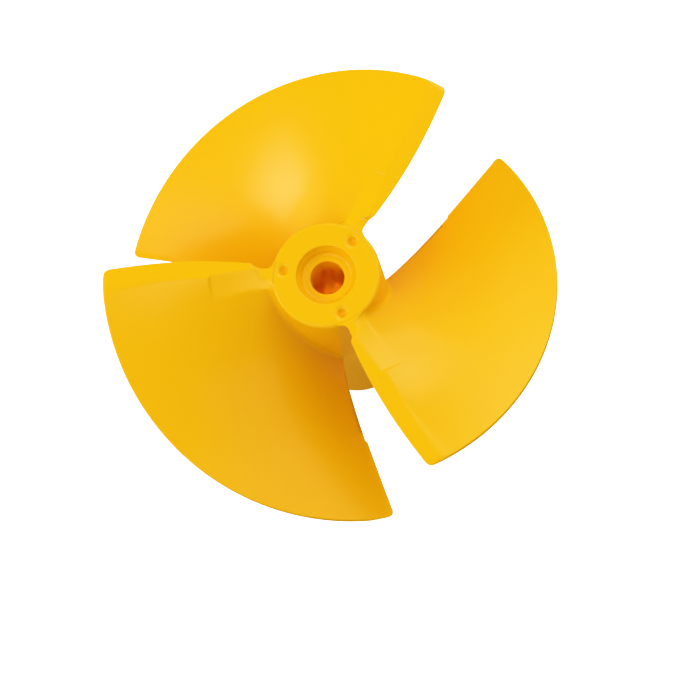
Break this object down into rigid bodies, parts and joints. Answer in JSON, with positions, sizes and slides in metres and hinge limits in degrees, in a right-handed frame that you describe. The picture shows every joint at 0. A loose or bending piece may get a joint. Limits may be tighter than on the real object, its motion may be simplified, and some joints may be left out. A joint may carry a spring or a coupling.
{
  "type": "pool cleaner impeller",
  "caption": "Moulded screw impeller of a robotic pool cleaner: wide helical blades round a long hub with a stepped shaft bore.",
  "frame": {"origin": "centre of the hub's rear end face, on the spin axis", "axes": "+Z along the spin axis from the hub's rear end to its front face, where the fixing screw sits; +X and +Y across it, with the middle of one gap between blades 73.4 degrees from +X towards +Y"},
  "size_m": [0.1079, 0.1076, 0.0653],
  "materials": {
    "yellow_plastic": "smooth moulded plastic with a soft gloss, solid yellow that goes orange in the deep corners"
  },
  "bodies": {
    "root": {"impeller": "yellow_plastic"}
  },
  "joints": []
}
